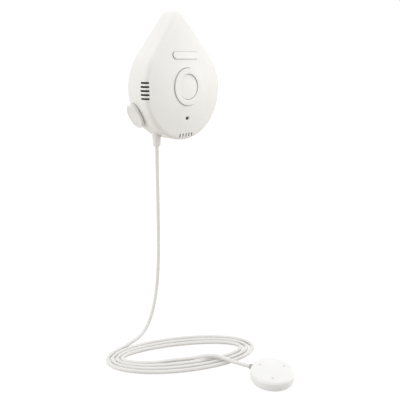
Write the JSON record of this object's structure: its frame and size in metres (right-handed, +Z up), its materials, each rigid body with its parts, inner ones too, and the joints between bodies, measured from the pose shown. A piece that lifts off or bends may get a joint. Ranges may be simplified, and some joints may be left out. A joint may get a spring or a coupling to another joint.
{
  "type": "water leak sensor",
  "caption": "Drop-shaped wall-mounted water leak sensor with a light bar, vents, a side button and a battery door, and a plug-in cord that ends in a round sensing disc.",
  "frame": {"origin": "on the wall plane, behind the centre of the drop's round lower end", "axes": "+Y points into the wall, +Z up along the drop towards its tip, +X along the wall to the viewer's right"},
  "size_m": [0.1372, 0.1547, 0.3055],
  "materials": {
    "housing_white": "satin moulded plastic, warm white",
    "lens_white": "smooth translucent diffuser",
    "button_white": "satin moulded plastic, warm white",
    "back_white": "fine matt texture, warm white",
    "seal_rubber": "matt black elastomer",
    "screw_steel": "zinc plated",
    "battery_sleeve": "plain dark shrink sleeve over a metal can",
    "contact_metal": "nickel plated",
    "board_green": "glass-fibre board with solder mask",
    "switch_black": "black moulding",
    "led_yellow": "clear resin over phosphor",
    "plug_white": "soft moulded plug, warm white",
    "cord_white": "soft satin jacket, warm white",
    "disc_white": "satin moulded plastic, white",
    "gland_grey": "soft grey grommet"
  },
  "bodies": {
    "housing": {"front_cover": "housing_white", "indicator_lens": "lens_white", "back_cover": "back_white", "housing_seal": "seal_rubber", "housing_screws": "screw_steel", "battery": "battery_sleeve", "positive_contact": "contact_metal", "negative_contact": "contact_metal", "circuit_board": "board_green", "board_screws": "screw_steel", "side_switch": "contact_metal", "reset_switch": "switch_black", "cable_jack": "switch_black", "radio_module": "contact_metal", "control_chips": "switch_black", "sounder": "switch_black", "humidity_sensor": "switch_black", "light_board": "board_green", "indicator_leds": "led_yellow", "plug_body": "plug_white", "plug_pin": "contact_metal", "cord_hang": "cord_white", "cord_coil": "cord_white", "cord_tail": "cord_white", "disc_cover": "disc_white", "disc_base": "disc_white", "disc_seal": "seal_rubber", "disc_contacts": "contact_metal", "disc_board": "board_green", "disc_screws": "screw_steel", "disc_gland": "gland_grey"},
    "button": {"side_button": "button_white", "switch_plunger": "switch_black"},
    "door": {"battery_door": "back_white"},
    "reset": {"reset_plunger": "switch_black"}
  },
  "joints": [
    {"name": "side_button_press", "type": "slide", "parent": "housing", "child": "button", "axis": [0.887, 0, 0.4617], "range_m": [0, 0.0008], "stiffness_N_per_m": 2500},
    {"name": "battery_door_open", "type": "hinge", "parent": "housing", "child": "door", "pos_m": [0, -0.00135, 0.01335], "axis": [-1, 0, 0], "range_deg": [0, 80]},
    {"name": "reset_press", "type": "slide", "parent": "housing", "child": "reset", "axis": [0, 1, 0], "range_m": [0, 0.00025], "stiffness_N_per_m": 6000}
  ]
}
